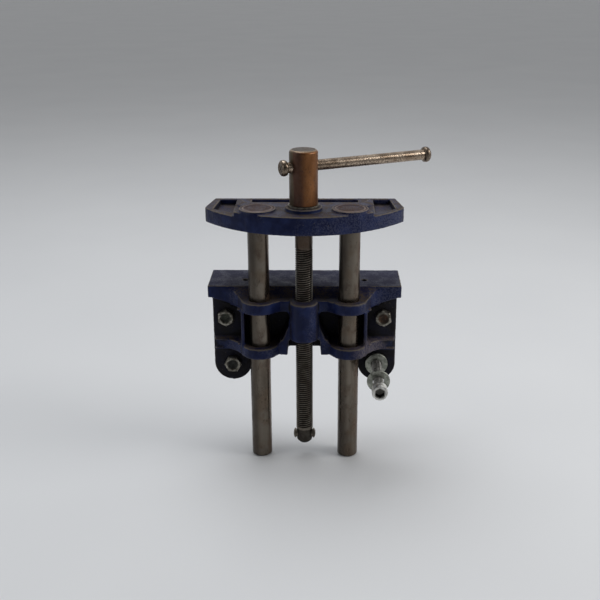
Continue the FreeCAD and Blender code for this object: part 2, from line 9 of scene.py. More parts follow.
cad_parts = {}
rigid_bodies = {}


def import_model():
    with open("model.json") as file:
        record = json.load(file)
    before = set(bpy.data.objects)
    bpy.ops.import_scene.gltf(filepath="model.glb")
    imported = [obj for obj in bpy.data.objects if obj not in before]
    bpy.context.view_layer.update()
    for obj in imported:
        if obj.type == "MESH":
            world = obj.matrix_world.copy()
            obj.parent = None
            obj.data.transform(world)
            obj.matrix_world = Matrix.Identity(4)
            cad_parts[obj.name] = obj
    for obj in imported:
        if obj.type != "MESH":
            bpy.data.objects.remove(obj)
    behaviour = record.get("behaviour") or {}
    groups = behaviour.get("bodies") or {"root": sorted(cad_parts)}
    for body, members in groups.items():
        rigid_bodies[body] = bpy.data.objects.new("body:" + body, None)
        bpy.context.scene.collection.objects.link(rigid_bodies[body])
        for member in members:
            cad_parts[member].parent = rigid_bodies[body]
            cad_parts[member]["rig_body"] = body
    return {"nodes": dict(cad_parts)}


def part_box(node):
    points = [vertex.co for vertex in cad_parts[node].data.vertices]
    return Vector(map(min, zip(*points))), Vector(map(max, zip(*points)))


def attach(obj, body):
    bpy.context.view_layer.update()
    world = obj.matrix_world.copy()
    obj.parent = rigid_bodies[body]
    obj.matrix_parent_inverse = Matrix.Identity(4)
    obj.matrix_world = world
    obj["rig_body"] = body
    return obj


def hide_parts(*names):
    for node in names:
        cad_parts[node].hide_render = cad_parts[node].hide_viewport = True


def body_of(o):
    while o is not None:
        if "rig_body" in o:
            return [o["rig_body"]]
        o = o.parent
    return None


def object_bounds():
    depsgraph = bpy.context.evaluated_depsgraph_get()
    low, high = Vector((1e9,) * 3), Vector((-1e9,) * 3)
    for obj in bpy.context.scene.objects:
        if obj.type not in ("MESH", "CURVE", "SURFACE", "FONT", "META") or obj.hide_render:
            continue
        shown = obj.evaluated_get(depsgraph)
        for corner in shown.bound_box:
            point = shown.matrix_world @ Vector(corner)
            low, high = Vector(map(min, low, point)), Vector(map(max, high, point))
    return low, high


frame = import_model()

# A woodworker's bench vise, stood on the ends of its guide rods. Blender works in metres, so
# lengths on the vise are given in millimetres times MM, in the same frame as the CAD model. The
# windows' heights are plain millimetres. NOWHERE is a place in metres that lies off the part.

MM = 0.001
CAD_LOW, CAD_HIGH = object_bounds()

ROD_RADIUS = 9.525 * MM
ROD_OFFSET = 41.275 * MM
SCREW_RADIUS = 7.9375 * MM
SCREW_STARTS = 2
SCREW_LEAD = 25.4 / 6 * MM
SCREW_THREAD = (29.0 * MM, 209.0 * MM)
SCREW_TOOTH = 1.15 * MM
BOLT_RADIUS = 4.7625 * MM
BOLT_PITCH = 25.4 / 16 * MM
BOLT_TOOTH = 0.95 * MM
HEX_APOTHEM = 7.14 * MM
BOLT_HEAD = 6.1 * MM
BOLT_DISH = 1.4 * MM
CAP_SCREW_HEAD = 9.525 * MM
CAP_SCREW_HEAD_RADIUS = 7.14 * MM
SOCKET_APOTHEM = 3.97 * MM
SOCKET_DEPTH = 5 * MM
HANDLE_AZIMUTH = math.radians(25.0)
HANDLE_HEIGHT = 282.5 * MM
BAR_RADIUS = 4.7625 * MM
CAP_RADIUS = 7.1 * MM
THRUST_WASHER_BORE = 8.05 * MM
WASHER_BORE = 5.2 * MM
WINDOW_BOTTOM = 115.0
WINDOW_TOP = 148.5
ALL_SMOOTH = 180.0
NOWHERE = 1.0

CAMERA_PLACE = Vector((18.35, -811.62, 456.77)) * MM
CAMERA_PITCH = math.radians(20.20)
CAMERA_YAW = math.radians(1.56)
CAMERA_ROLL = math.radians(-0.34)
CAMERA_LENS = 56.47


# ---------------------------------------------------------------- meshes

def mesh_object(name, mesh):
    piece = bpy.data.objects.new(name, mesh)
    bpy.context.scene.collection.objects.link(piece)
    return piece


def settle(piece, node, material, sharp=35.0):
    """Puts a finished piece in its CAD node's place: same body and its material."""
    mesh = piece.data
    mesh.materials.clear()
    mesh.materials.append(material)
    mesh.polygons.foreach_set("use_smooth", [True] * len(mesh.polygons))
    mesh.set_sharp_from_angle(angle=math.radians(sharp))
    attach(piece, body_of(frame["nodes"][node])[0])
    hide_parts(node)
    return piece


def corner_rows(profile, radius, steps=4):
    """The profile with each inner corner rounded, to at most a third of the runs beside it."""
    rows = [profile[0]]
    for before, here, after in zip(profile, profile[1:], profile[2:]):
        point = Vector(here[:2])
        back, on = Vector(before[:2]) - point, Vector(after[:2]) - point
        reach = min(radius, back.length / 3, on.length / 3)
        start, end = point + back.normalized() * reach, point + on.normalized() * reach
        for step in range(steps + 1):
            t = step / steps
            place = start * (1 - t) ** 2 + point * 2 * t * (1 - t) + end * t ** 2
            rows.append((place.x, place.y) + tuple(here[2:]))
    rows.append(profile[-1])
    return rows


def thread_rows(radius, low, high, pitch, samples=9):
    """Closely spaced rows for a threaded length."""
    count = max(2, round((high - low) / pitch * samples))
    return [(radius, low + (high - low) * i / count) for i in range(count + 1)]


def tooth_depth(height, angle, low, high, pitch, crest, starts):
    """How deep a right-hand thread is cut at each place, from 0 on the crest to 1 at the root.
    The pitch is from one ridge to the next, whichever start each belongs to."""
    phase = (height / pitch - starts * angle / (2 * math.pi)) % 1.0
    from_crest = np.abs(phase - 0.5) * 2
    flank = (0.94 - crest) / 2
    cut = np.clip((from_crest - crest) / flank, 0, 1)
    run_out = np.clip((height - low) / pitch, 0, 1) * np.clip((high - height) / pitch, 0, 1)
    return cut * run_out


def turned(name, rows, segments=96, thread=None, ring=False, spin=0.0):
    """A turned mesh about Z. A row is (radius, height, stain, flat): stain is kept as an
    attribute for the material, a real stain on most pieces but a painted highlight on the head's
    rim, and flat is the apothem of a hexagon that trims the row."""
    full = [tuple(row) + (0.0, None)[len(row) - 2:] for row in rows]
    angles = np.linspace(0, 2 * math.pi, segments, endpoint=False)
    to_flat = np.cos((angles - spin + math.pi / 6) % (math.pi / 3) - math.pi / 6)
    points, stains = [], []
    for radius, height, stain_and_highlight, flat in full:
        reach = np.full(segments, radius)
        if flat:
            reach = np.minimum(reach, flat / to_flat)
        if thread and thread[0] <= height <= thread[1]:
            low, high, pitch, tooth, crest, starts = thread
            reach = reach - tooth * tooth_depth(height, angles, low, high, pitch, crest, starts)
        points += list(zip(reach * np.cos(angles), reach * np.sin(angles), [height] * segments))
        stains += [stain_and_highlight] * segments
    faces = []
    for row in range(len(full) if ring else len(full) - 1):
        a, b = row * segments, (row + 1) % len(full) * segments
        for i in range(segments):
            j = (i + 1) % segments
            faces.append((a + i, a + j, b + j, b + i))
    mesh = bpy.data.meshes.new(name)
    mesh.from_pydata(points, [], faces)
    mesh.attributes.new("stain_and_highlight", "FLOAT", "POINT").data.foreach_set("value", stains)
    edit = bmesh.new()
    edit.from_mesh(mesh)
    bmesh.ops.remove_doubles(edit, verts=edit.verts, dist=1e-7)
    bmesh.ops.recalc_face_normals(edit, faces=edit.faces)
    edit.to_mesh(mesh)
    edit.free()
    return mesh_object(name, mesh)


def placed(piece, matrix):
    piece.data.transform(matrix)
    return piece


def prism(edit, outline, low, high, across):
    """A closed prism in a bmesh. The outline's two coordinates and low to high go to the axes
    that across names, such as "XZY" for an outline in X and Z that runs along Y."""
    order = ["XYZ".index(letter) for letter in across]
    ends = []
    for level in (low, high):
        ring = []
        for first, second in outline:
            place = [0.0, 0.0, 0.0]
            for axis, value in zip(order, (first, second, level)):
                place[axis] = value
            ring.append(edit.verts.new(place))
        ends.append(ring)
    skin(edit, ends)


def skin(edit, rings):
    """Closes a row of matching rings into one solid, and turns its faces outwards."""
    made = [edit.faces.new(rings[0]), edit.faces.new(rings[-1])]
    for one, other in zip(rings, rings[1:]):
        for i in range(len(one)):
            j = (i + 1) % len(one)
            made.append(edit.faces.new((one[i], one[j], other[j], other[i])))
    bmesh.ops.recalc_face_normals(edit, faces=made)


def loft(edit, sections):
    """A closed solid through sections of (x, [(y, z), ...]), all with as many points."""
    skin(edit, [[edit.verts.new((x, y, z)) for y, z in outline] for x, outline in sections])


def fillet(edit, corner, signs, radius, low, high, across="XZY"):
    """A concave fillet in a corner: signs say which way the open space lies from it."""
    centre = [corner[i] + signs[i] * radius for i in (0, 1)]
    outline = [tuple(corner[i] - signs[i] * 1.0 * MM for i in (0, 1))]
    for step in range(7):
        angle = math.radians(15 * step)
        outline.append((centre[0] - signs[0] * radius * math.cos(angle),
                        centre[1] - signs[1] * radius * math.sin(angle)))
    outline.insert(1, (outline[1][0] - signs[0] * 1.0 * MM, outline[1][1]))
    outline.append((outline[-1][0], outline[-1][1] - signs[1] * 1.0 * MM))
    prism(edit, outline, low, high, across)


def ring_ridge(edit, centre, radius, thickness):
    """A low round ridge, as a closed torus about a vertical axis."""
    rings, turns, sides = [], 72, 10
    for i in range(turns):
        around = 2 * math.pi * i / turns
        ring = []
        for k in range(sides):
            tube = 2 * math.pi * k / sides
            reach = radius + thickness * math.cos(tube)
            ring.append(edit.verts.new((centre.x + reach * math.cos(around),
                                        centre.y + reach * math.sin(around),
                                        centre.z + thickness * math.sin(tube))))
        rings.append(ring)
    made = []
    for i in range(turns):
        one, other = rings[i], rings[(i + 1) % turns]
        for k in range(sides):
            j = (k + 1) % sides
            made.append(edit.faces.new((one[k], one[j], other[j], other[k])))
    bmesh.ops.recalc_face_normals(edit, faces=made)


def neighbour_mean(points, first, second, degree):
    """Each point's mean with the points it shares an edge with."""
    total = np.empty_like(points)
    for axis in range(3):
        total[:, axis] = np.bincount(first, points[second, axis], len(points))
        total[:, axis] += np.bincount(second, points[first, axis], len(points))
    return (points + total / degree[:, None]) / 2


def mark_relief(mesh):
    """Stores how far each point stands proud of its surroundings, in millimetres: "edge" over a
    millimetre or two, for worn edges, and "hollow" over several, for painted shade in corners."""
    count = len(mesh.vertices)
    points, normals = np.empty(count * 3), np.empty(count * 3)
    mesh.vertices.foreach_get("co", points)
    mesh.vertex_normals.foreach_get("vector", normals)
    points, normals = points.reshape(-1, 3), normals.reshape(-1, 3)
    ends = np.empty(len(mesh.edges) * 2, np.int32)
    mesh.edges.foreach_get("vertices", ends)
    first, second = ends[::2], ends[1::2]
    degree = np.bincount(ends, minlength=count).astype(float)
    smoothed = points.copy()
    for name, rounds in (("edge", 12), ("hollow", 60)):
        for _ in range(rounds):
            smoothed = neighbour_mean(smoothed, first, second, degree)
        relief = ((points - smoothed) * normals).sum(1) / MM
        mesh.attributes.new(name, "FLOAT", "POINT").data.foreach_set("value", relief)


def hold_face(mesh, bottom, top):
    """Keeps a machined face from swelling past its true height, so that closed jaws just meet."""
    points = np.empty(len(mesh.vertices) * 3)
    mesh.vertices.foreach_get("co", points)
    points[2::3] = np.clip(points[2::3], bottom, top)
    mesh.vertices.foreach_set("co", points)
    mesh.update()


def cast(name, node, additions, voxel, rounds, roughness, bottom, top):
    """A casting: the CAD node's shape with its additions, remeshed into one skin with rounded
    edges and the slight unevenness of sand cast iron, and kept between bottom and top."""
    edit = bmesh.new()
    edit.from_mesh(frame["nodes"][node].data)
    bmesh.ops.remove_doubles(edit, verts=edit.verts, dist=1e-6)
    additions(edit)
    mesh = bpy.data.meshes.new(name)
    edit.to_mesh(mesh)
    edit.free()
    piece = mesh_object(name, mesh)
    remesh = piece.modifiers.new("skin", "REMESH")
    remesh.mode, remesh.voxel_size = "VOXEL", voxel
    smooth = piece.modifiers.new("rounding", "SMOOTH")
    smooth.factor, smooth.iterations = 0.5, rounds
    sand = bpy.data.textures.new(name + "_sand", "CLOUDS")
    sand.noise_scale, sand.noise_depth = 3.5 * MM, 2
    uneven = piece.modifiers.new("sand", "DISPLACE")
    uneven.texture, uneven.strength, uneven.mid_level = sand, roughness, 0.5
    thin = piece.modifiers.new("thin", "DECIMATE")
    thin.ratio = 0.5
    graph = bpy.context.evaluated_depsgraph_get()
    finished = bpy.data.meshes.new_from_object(piece.evaluated_get(graph))
    piece.modifiers.clear()
    piece.data = finished
    hold_face(finished, bottom, top)
    mark_relief(finished)
    return piece


# ---------------------------------------------------------------- materials

class Finish:
    """One material's nodes, around its Principled shader. Lengths are in metres."""

    def __init__(self, name, roughness=0.5, metallic=0.0):
        self.material = bpy.data.materials.new(name)
        self.material.use_nodes = True
        self.nodes = self.material.node_tree.nodes
        self.links = self.material.node_tree.links
        self.shader = self.nodes["Principled BSDF"]
        self.shader.inputs["Roughness"].default_value = roughness
        self.shader.inputs["Metallic"].default_value = metallic
        where = self.nodes.new("ShaderNodeTexCoord")
        self.place, self.normal = where.outputs["Object"], where.outputs["Normal"]

    def put(self, value, socket):
        if isinstance(value, bpy.types.NodeSocket):
            self.links.new(value, socket)
        elif isinstance(value, tuple) and len(value) == 3 and len(socket.default_value) == 4:
            socket.default_value = value + (1.0,)
        else:
            socket.default_value = value

    def noise(self, size, detail, stretch=(1, 1, 1), seed=0.0):
        """Noise whose features are about size across, squeezed along each axis by stretch."""
        mapping = self.nodes.new("ShaderNodeMapping")
        self.links.new(self.place, mapping.inputs["Vector"])
        mapping.inputs["Location"].default_value = (seed, seed * 0.7, seed * 1.3)
        mapping.inputs["Scale"].default_value = tuple(s / size for s in stretch)
        texture = self.nodes.new("ShaderNodeTexNoise")
        texture.inputs["Scale"].default_value = 1.0
        texture.inputs["Detail"].default_value = detail
        self.links.new(mapping.outputs["Vector"], texture.inputs["Vector"])
        return texture.outputs["Fac"]

    def flecks(self, size):
        """Distance from scattered points, for chips and flakes about size across."""
        mapping = self.nodes.new("ShaderNodeMapping")
        self.links.new(self.place, mapping.inputs["Vector"])
        mapping.inputs["Scale"].default_value = (1 / size,) * 3
        texture = self.nodes.new("ShaderNodeTexVoronoi")
        texture.inputs["Scale"].default_value = 1.0
        self.links.new(mapping.outputs["Vector"], texture.inputs["Vector"])
        return texture.outputs["Distance"]

    def attribute(self, name):
        node = self.nodes.new("ShaderNodeAttribute")
        node.attribute_name = name
        return node.outputs["Fac"]

    def axis(self, vector, letter):
        node = self.nodes.new("ShaderNodeSeparateXYZ")
        self.links.new(vector, node.inputs[0])
        return node.outputs[letter]

    def span(self, value, low, high, start=0.0, end=1.0):
        """0 below low and 1 above high, with a smooth step between, scaled to start and end."""
        node = self.nodes.new("ShaderNodeMapRange")
        node.interpolation_type = "SMOOTHSTEP"
        self.put(value, node.inputs["Value"])
        limits = {"From Min": low, "From Max": high, "To Min": start, "To Max": end}
        for socket, number in limits.items():
            node.inputs[socket].default_value = number
        return node.outputs["Result"]

    def band(self, value, start, full, fading, gone):
        """1 from full to fading, and 0 before start and after gone."""
        return self.times(self.span(value, start, full), self.span(value, fading, gone, 1.0, 0.0))

    def maths(self, operation, a, b):
        node = self.nodes.new("ShaderNodeMath")
        node.operation = operation
        self.put(a, node.inputs[0])
        self.put(b, node.inputs[1])
        return node.outputs[0]

    def times(self, a, *others):
        for other in others:
            a = self.maths("MULTIPLY", a, other)
        return a

    def plus(self, a, b):
        return self.maths("ADD", a, b)

    def most(self, a, b):
        return self.maths("MAXIMUM", a, b)

    def mix(self, factor, a, b):
        node = self.nodes.new("ShaderNodeMix")
        node.data_type = "RGBA"
        self.put(factor, node.inputs["Factor"])
        self.put(a, node.inputs[6])
        self.put(b, node.inputs[7])
        return node.outputs[2]

    def colour(self, value):
        self.put(value, self.shader.inputs["Base Color"])

    def gloss(self, value):
        self.put(value, self.shader.inputs["Roughness"])

    def metal(self, value):
        self.put(value, self.shader.inputs["Metallic"])

    def bump(self, height, distance):
        node = self.nodes.new("ShaderNodeBump")
        node.inputs["Distance"].default_value = distance
        node.inputs["Strength"].default_value = 1.0
        self.links.new(height, node.inputs["Height"])
        self.links.new(node.outputs["Normal"], self.shader.inputs["Normal"])


DEEP_BLUE = (0.0030, 0.0070, 0.0420)
WORN_BLUE = (0.0110, 0.0200, 0.0800)
SCUFFED_BLUE = (0.0480, 0.0540, 0.1050)
DUSTY_GREY = (0.0240, 0.0260, 0.0540)
BROWN_DUST = (0.0620, 0.0460, 0.0370)
RING_DUST = (0.2100, 0.1600, 0.1350)
TAN_EDGE = (0.1250, 0.1050, 0.0820)
GRIME_AND_SHADE = (0.0150, 0.0135, 0.0140)
PALE_DUST = (0.1150, 0.0930, 0.0980)
CORNER_SHADE = (0.0026, 0.0022, 0.0020)
END_DIRT = (0.0300, 0.0260, 0.0240)
RUST = (0.0620, 0.0300, 0.0180)


def enamel(name, film_low, film_high, shaded_depth, dusty_side, ring_level):
    """Old blue enamel: mottled and dusty, worn pale along its upper edges and darkened with painted
    shade in its corners. The flat face between film_low and film_high has a thin purple-grey dusty
    film. Faces that look forward from behind shaded_depth are blackened with painted shade, and the
    flare in front of it to the lower right is pale with dust. Past dusty_side the paint is dustier.
    Above ring_level, dust has dried in rings round the rods and rust has spread from them."""
    look = Finish(name)
    look.shader.inputs["Specular IOR Level"].default_value = 0.16
    edge, hollow = look.attribute("edge"), look.attribute("hollow")
    mottle = look.noise(12 * MM, 5)
    patches = look.noise(24 * MM, 3, seed=4.0)
    fine = look.noise(1.3 * MM, 6, seed=2.0)
    grain = look.noise(0.5 * MM, 3, seed=5.0)
    across, depth, height = (look.axis(look.place, letter) for letter in "XYZ")
    sideways, outward, upward = (look.axis(look.normal, letter) for letter in "XYZ")
    paint = look.mix(look.span(mottle, 0.36, 0.68), DEEP_BLUE, WORN_BLUE)
    scuffed = look.times(look.span(patches, 0.47, 0.66), look.span(fine, 0.42, 0.66), 0.8)
    paint = look.mix(scuffed, paint, SCUFFED_BLUE)
    ragged = look.plus(across, look.times(patches, 20 * MM))
    side_dust = look.times(look.span(ragged, dusty_side, dusty_side + 25 * MM),
                           look.span(fine, 0.38, 0.62), 0.75)
    paint = look.mix(side_dust, paint, SCUFFED_BLUE)
    flat = look.span(upward, 0.25, 0.85)
    settled = look.times(flat, look.span(look.plus(mottle, fine), 0.82, 1.14, 0.15, 1.0))
    paint = look.mix(settled, paint, BROWN_DUST)
    aside = look.plus(look.maths("ABSOLUTE", across, 0.0), -ROD_OFFSET)
    from_rod = look.maths("SQRT", look.plus(look.times(aside, aside), look.times(depth, depth)), 0.0)
    on_top = look.times(look.span(height, ring_level, ring_level + 1 * MM), flat)
    spread = look.plus(from_rod, look.times(patches, 14 * MM))
    rust = look.times(look.span(spread, 18 * MM, 25 * MM, 1.0, 0.0),
                      look.span(fine, 0.35, 0.60, 0.3, 1.0), on_top)
    paint = look.mix(look.times(rust, 0.75), paint, RUST)
    inner = look.band(from_rod, 12.0 * MM, 12.8 * MM, 13.4 * MM, 14.4 * MM)
    outer = look.band(from_rod, 15.0 * MM, 15.7 * MM, 16.2 * MM, 17.0 * MM)
    dried = look.times(look.most(inner, outer), look.span(fine, 0.32, 0.55, 0.35, 1.0), on_top)
    paint = look.mix(look.times(dried, 0.8), paint, RING_DUST)
    in_film = look.times(look.band(height, film_low, film_low + 1 * MM, film_high, film_high + 1 * MM),
                         look.span(upward, 0.80, 0.97))
    paint = look.mix(look.times(in_film, look.span(patches, 0.2, 0.8, 0.98, 0.80)), paint, DUSTY_GREY)
    ends = look.span(look.maths("ABSOLUTE", sideways, 0.0), 0.80, 0.95)
    paint = look.mix(look.times(ends, look.span(fine, 0.3, 0.6), 0.8), paint, END_DIRT)
    facing = look.span(outward, -0.75, -0.35, 1.0, 0.0)
    low_dust = look.times(
        look.span(across, 40 * MM, 56 * MM), look.band(height, 90 * MM, 96 * MM, 118 * MM, 124 * MM),
        look.span(depth, shaded_depth, shaded_depth - 2 * MM), look.span(fine, 0.36, 0.58, 0.25, 1.0))
    paint = look.mix(look.times(low_dust, 0.75), paint, PALE_DUST)
    # Painted shade: faces that look forward from behind shaded_depth, the plate inside the windows, go near
    # black as if in shadow.
    plate_shade = look.times(look.span(depth, shaded_depth, shaded_depth + 1.0 * MM), facing,
                        look.span(mottle, 0.3, 0.7, 0.98, 0.80))
    paint = look.mix(plate_shade, paint, GRIME_AND_SHADE)
    # Painted shade: hollows and inner corners go near black as if in shade, less on faces that look up.
    corners = look.span(look.plus(hollow, look.times(fine, -0.3)), -1.25, -0.45, 1.0, 0.0)
    corners = look.times(corners, look.span(upward, 0.55, 0.90, 0.85, 0.35))
    paint = look.mix(corners, paint, CORNER_SHADE)
    broken = look.plus(look.times(fine, 0.30), look.times(patches, 0.26))
    worn = look.times(look.span(look.plus(edge, broken), 0.46, 0.62),
                      look.span(upward, 0.0, 0.55, 0.12, 1.0),
                      look.span(depth, 50 * MM, 56 * MM, 1.0, 0.15))
    paint = look.mix(look.times(worn, 0.85), paint, TAN_EDGE)
    chips = look.times(look.span(look.flecks(4.0 * MM), 0.06, 0.13, 1.0, 0.0),
                       look.span(patches, 0.46, 0.60))
    paint = look.mix(look.times(chips, 0.75), paint, TAN_EDGE)
    look.colour(paint)
    dull = look.plus(look.times(mottle, 0.5), look.times(look.most(settled, plate_shade), 0.5))
    look.gloss(look.span(dull, 0.1, 0.9, 0.36, 0.80))
    look.bump(look.plus(look.plus(fine, look.times(mottle, 0.5)), look.times(grain, 0.35)), 0.22 * MM)
    return look.material


def rod_steel():
    """Drawn steel gone grey-brown: darker with painted shade down its left side and oily higher
    up, rusty along the right and in blots, with rusty riveted ends."""
    look = Finish("guide_rod_steel")
    runs = look.noise(9 * MM, 4, stretch=(1, 1, 0.16))
    bands = look.noise(18 * MM, 3, seed=1.0)
    blots = look.noise(9 * MM, 6, stretch=(1, 1, 0.6), seed=7.0)
    fine = look.noise(0.9 * MM, 5, seed=3.0)
    marks = look.noise(2.6 * MM, 5, stretch=(1, 1, 0.6), seed=12.0)
    height = look.axis(look.place, "Z")
    metal = look.mix(look.span(runs, 0.34, 0.66), (0.108, 0.089, 0.070), (0.185, 0.160, 0.130))
    metal = look.mix(look.times(look.span(bands, 0.44, 0.64), 0.6), metal, (0.130, 0.094, 0.066))
    rusty = look.times(look.span(blots, 0.52, 0.66), look.span(fine, 0.34, 0.60))
    metal = look.mix(look.times(rusty, 0.65), metal, (0.085, 0.045, 0.026))
    metal = look.mix(look.times(look.span(marks, 0.60, 0.70), 0.45), metal, (0.040, 0.030, 0.024))
    # Painted shade: faces turned to the left are darkened as if in shade, and real oil darkens the rod
    # higher up.
    sideways = look.axis(look.normal, "X")
    oil_and_left_shade = look.plus(look.span(sideways, -0.55, 0.10, 1.0, 0.0),
                     look.times(look.span(height, 120 * MM, 230 * MM), 0.35))
    oil_and_left_shade = look.times(oil_and_left_shade, look.span(runs, 0.3, 0.7, 0.45, 0.75))
    metal = look.mix(oil_and_left_shade, metal, (0.036, 0.030, 0.025))
    edge_rust = look.times(look.span(sideways, 0.62, 0.92), look.span(blots, 0.38, 0.58, 0.35, 1.0))
    metal = look.mix(look.times(edge_rust, 0.7), metal, (0.095, 0.052, 0.030))
    riveted = look.span(height, 241 * MM, 243 * MM)
    metal = look.mix(look.times(riveted, look.span(fine, 0.3, 0.6, 0.6, 1.0)), metal, RUST)
    look.colour(metal)
    worn = look.most(rusty, riveted)
    look.gloss(look.span(look.plus(runs, worn), 0.3, 1.3, 0.25, 0.58))
    look.metal(look.span(worn, 0.1, 1.0, 0.92, 0.35))
    look.bump(look.plus(fine, look.times(rusty, -0.4)), 0.022 * MM)
    return look.material


def screw_steel():
    """The screw: dark steel, oily and painted near black as shade in the roots of its thread,
    rubbed brighter on the crests of its thread and browner where it is plain near the jaw."""
    look = Finish("screw_steel", metallic=0.8)
    mottle = look.noise(7 * MM, 4)
    fine = look.noise(0.8 * MM, 4, seed=5.0)
    side, depth, height = (look.axis(look.place, letter) for letter in "XYZ")
    radius = look.maths("SQRT", look.plus(look.times(side, side), look.times(depth, depth)), 0.0)
    crest = look.span(radius, SCREW_RADIUS - 0.75 * MM, SCREW_RADIUS - 0.15 * MM)
    rubbed = look.mix(look.span(mottle, 0.35, 0.65), (0.115, 0.096, 0.076), (0.230, 0.205, 0.170))
    # Painted shade: between the crests the thread's roots go near black, as if in shade, as well as being
    # oily.
    metal = look.mix(crest, (0.010, 0.008, 0.007), rubbed)
    plain = look.span(height, SCREW_THREAD[1] - 6 * MM, SCREW_THREAD[1] + 2 * MM)
    metal = look.mix(look.times(plain, 0.85), metal, (0.052, 0.030, 0.018))
    metal = look.mix(look.times(look.span(fine, 0.52, 0.70), 0.5), metal, (0.020, 0.015, 0.012))
    look.colour(metal)
    look.gloss(look.span(mottle, 0.3, 0.7, 0.28, 0.48))
    look.bump(fine, 0.02 * MM)
    return look.material


def head_patina():
    """The head: steel browned to a bronze colour, with painted light: darker to the left as if in
    shade, warmer and brighter to the right as if lit, a painted grey reflection in a strip down its
    left side, an olive brown top and a painted highlight on its pale rim."""
    look = Finish("head_patina")
    runs = look.noise(9 * MM, 5, stretch=(1, 1, 0.30))
    fine = look.noise(0.8 * MM, 5, stretch=(1, 1, 0.5), seed=6.0)
    spots = look.noise(3.0 * MM, 5, seed=13.0)
    side, height = (look.axis(look.place, letter) for letter in "XZ")
    wander = look.plus(side, look.times(runs, 3 * MM))
    # Painted light: the left is darkened as if in shade, and the right is made warm and bright as if lit.
    dark = look.mix(look.span(runs, 0.30, 0.72), (0.058, 0.026, 0.017), (0.092, 0.043, 0.027))
    lit_warm = look.mix(look.span(runs, 0.30, 0.72), (0.170, 0.068, 0.023), (0.290, 0.125, 0.045))
    metal = look.mix(look.span(wander, -2.5 * MM, 5.5 * MM), dark, lit_warm)
    # A painted reflection: a grey strip runs down the left side.
    strip = look.times(look.span(wander, -8.4 * MM, -6.2 * MM, 1.0, 0.0), 0.75)
    metal = look.mix(strip, metal, (0.120, 0.098, 0.062))
    top = look.span(height, CAD_HIGH.z - 1.0 * MM, CAD_HIGH.z - 0.2 * MM)
    metal = look.mix(look.times(top, 0.92), metal, (0.040, 0.024, 0.011))
    # A painted highlight: the chamfer of the top rim is made pale, brightest at its upper corner.
    rim = look.span(look.attribute("stain_and_highlight"), 0.15, 0.85)
    metal = look.mix(look.times(rim, 0.75), metal, (0.34, 0.25, 0.17))
    metal = look.mix(look.times(look.span(fine, 0.56, 0.70), 0.5), metal, (0.040, 0.018, 0.010))
    metal = look.mix(look.times(look.span(spots, 0.60, 0.68), 0.6), metal, (0.055, 0.024, 0.013))
    look.colour(metal)
    look.gloss(look.span(look.plus(runs, fine), 0.6, 1.4, 0.28, 0.50))
    look.metal(look.span(spots, 0.45, 0.70, 0.75, 0.5))
    look.bump(look.plus(fine, look.times(spots, 0.4)), 0.02 * MM)
    return look.material


def nickel(name, dull, bright, bare):
    """Old nickel plate, flaked and freckled with brown."""
    look = Finish(name)
    cloud = look.noise(12 * MM, 4)
    fine = look.noise(1.1 * MM, 6, seed=9.0)
    metal = look.mix(look.span(cloud, 0.35, 0.65), dull, bright)
    flaked = look.times(look.span(look.plus(fine, look.times(cloud, 0.35)), 0.66, 0.76), 0.9)
    metal = look.mix(look.times(flaked, 0.75), metal, bare)
    metal = look.mix(look.times(look.attribute("stain_and_highlight"), 0.8), metal, (0.060, 0.042, 0.030))
    look.colour(metal)
    look.gloss(look.span(look.plus(fine, flaked), 0.4, 1.4, 0.24, 0.55))
    look.metal(look.span(flaked, 0.1, 0.9, 1.0, 0.6))
    look.bump(look.plus(fine, look.times(flaked, -0.5)), 0.03 * MM)
    return look.material


def zinc(name, light, dull, roughness):
    """Zinc plate with a soft white bloom."""
    look = Finish(name, metallic=0.85)
    cloud = look.noise(4 * MM, 5)
    fine = look.noise(0.6 * MM, 4, seed=8.0)
    metal = look.mix(look.span(cloud, 0.38, 0.62), dull, light)
    metal = look.mix(look.times(look.attribute("stain_and_highlight"), 0.9), metal, (0.022, 0.017, 0.013))
    look.colour(metal)
    look.gloss(look.span(cloud, 0.3, 0.7, roughness - 0.06, roughness + 0.14))
    look.bump(fine, 0.04 * MM)
    return look.material


def bolt_finish(name, dish):
    """A dull bolt, with dirt of its own colour in the dish of its head."""
    look = Finish(name)
    cloud = look.noise(3.5 * MM, 5)
    fine = look.noise(0.7 * MM, 5, seed=3.0)
    metal = look.mix(look.span(cloud, 0.38, 0.64), (0.105, 0.096, 0.078), (0.300, 0.285, 0.245))
    metal = look.mix(look.times(look.span(fine, 0.54, 0.66), 0.7), metal, (0.035, 0.027, 0.020))
    dirty = look.times(look.attribute("stain_and_highlight"), look.span(fine, 0.20, 0.55, 0.8, 1.0))
    crust = look.mix(look.span(cloud, 0.40, 0.62), tuple(c * 0.35 for c in dish), dish)
    metal = look.mix(dirty, metal, crust)
    look.colour(metal)
    look.gloss(look.span(look.plus(cloud, dirty), 0.3, 1.5, 0.30, 0.75))
    look.metal(look.span(dirty, 0.1, 0.9, 0.88, 0.2))
    look.bump(look.plus(fine, look.times(look.attribute("stain_and_highlight"), look.times(cloud, 2.0))), 0.08 * MM)
    return look.material


# ---------------------------------------------------------------- castings

